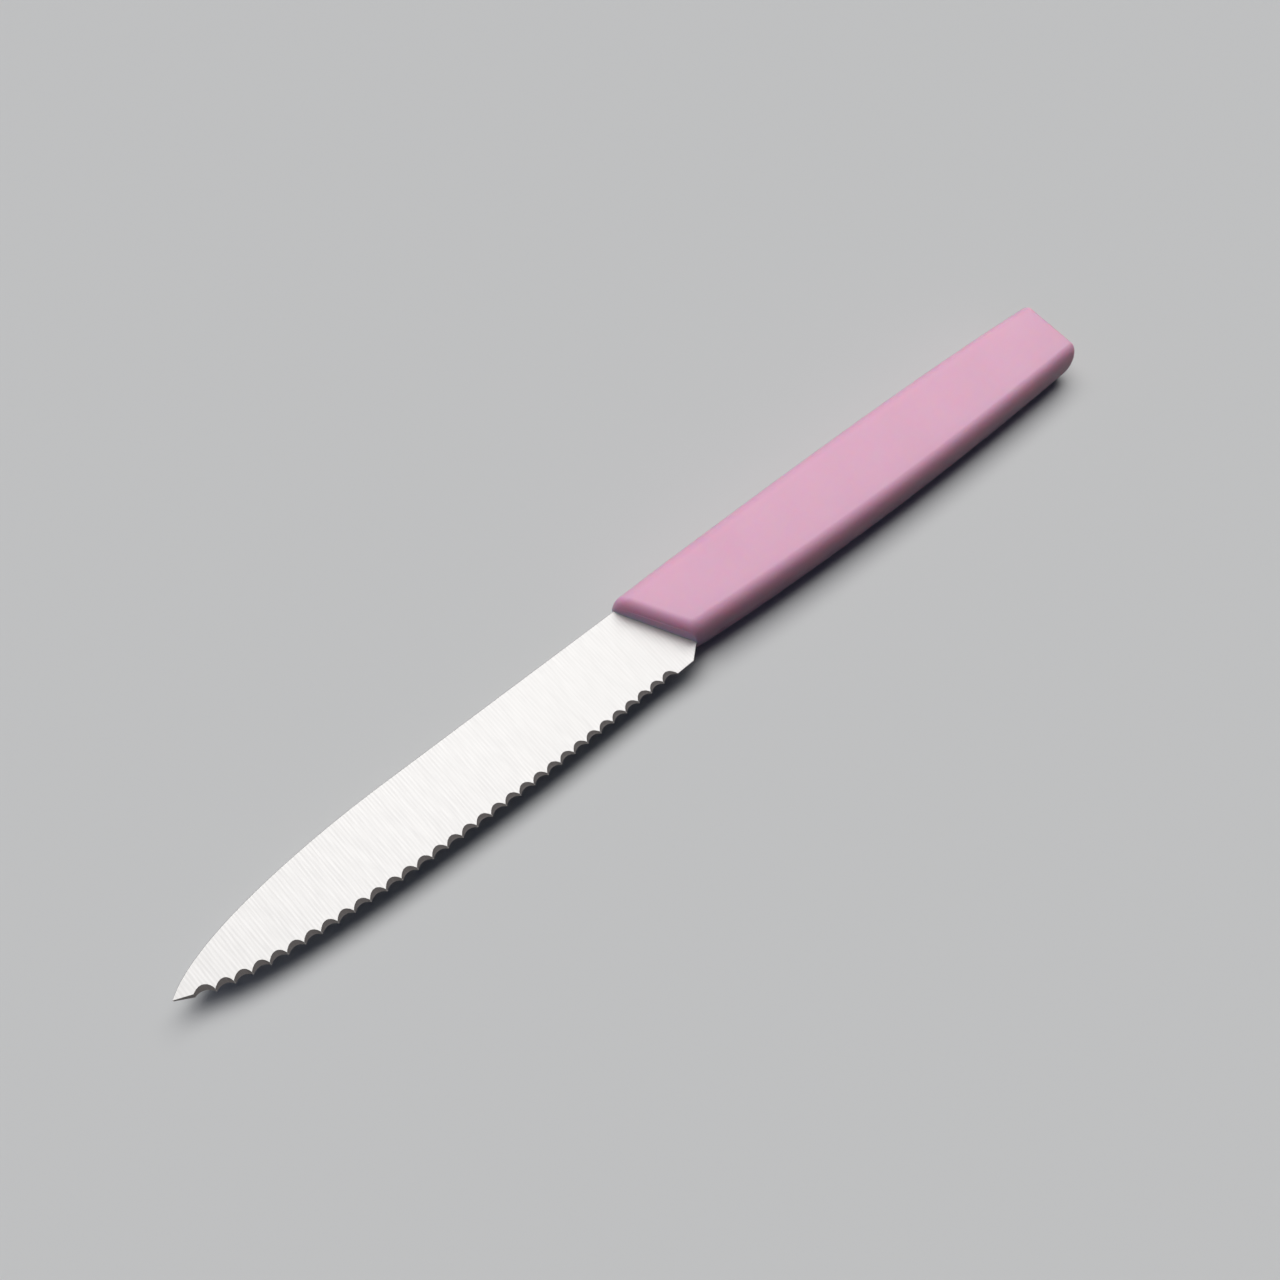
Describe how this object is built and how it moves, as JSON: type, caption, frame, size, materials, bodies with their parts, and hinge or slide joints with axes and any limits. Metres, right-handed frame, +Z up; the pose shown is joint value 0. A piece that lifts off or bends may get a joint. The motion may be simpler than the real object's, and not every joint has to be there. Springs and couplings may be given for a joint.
{
  "type": "fruit knife",
  "caption": "Small kitchen knife with a pointed scalloped steel blade and a flat moulded plastic handle, for cutting fruit and vegetables.",
  "frame": {"origin": "middle of the knife's footprint, on the surface it lies on", "axes": "+X from the tip to the butt, +Y from the cutting edge to the spine, +Z up through the flat of the blade"},
  "size_m": [0.2206, 0.0202, 0.0104],
  "materials": {
    "blade_steel": "satin, ground across the blade",
    "handle_plastic": "smooth moulded, soft satin"
  },
  "bodies": {
    "root": {"blade": "blade_steel", "handle": "handle_plastic"}
  },
  "joints": []
}
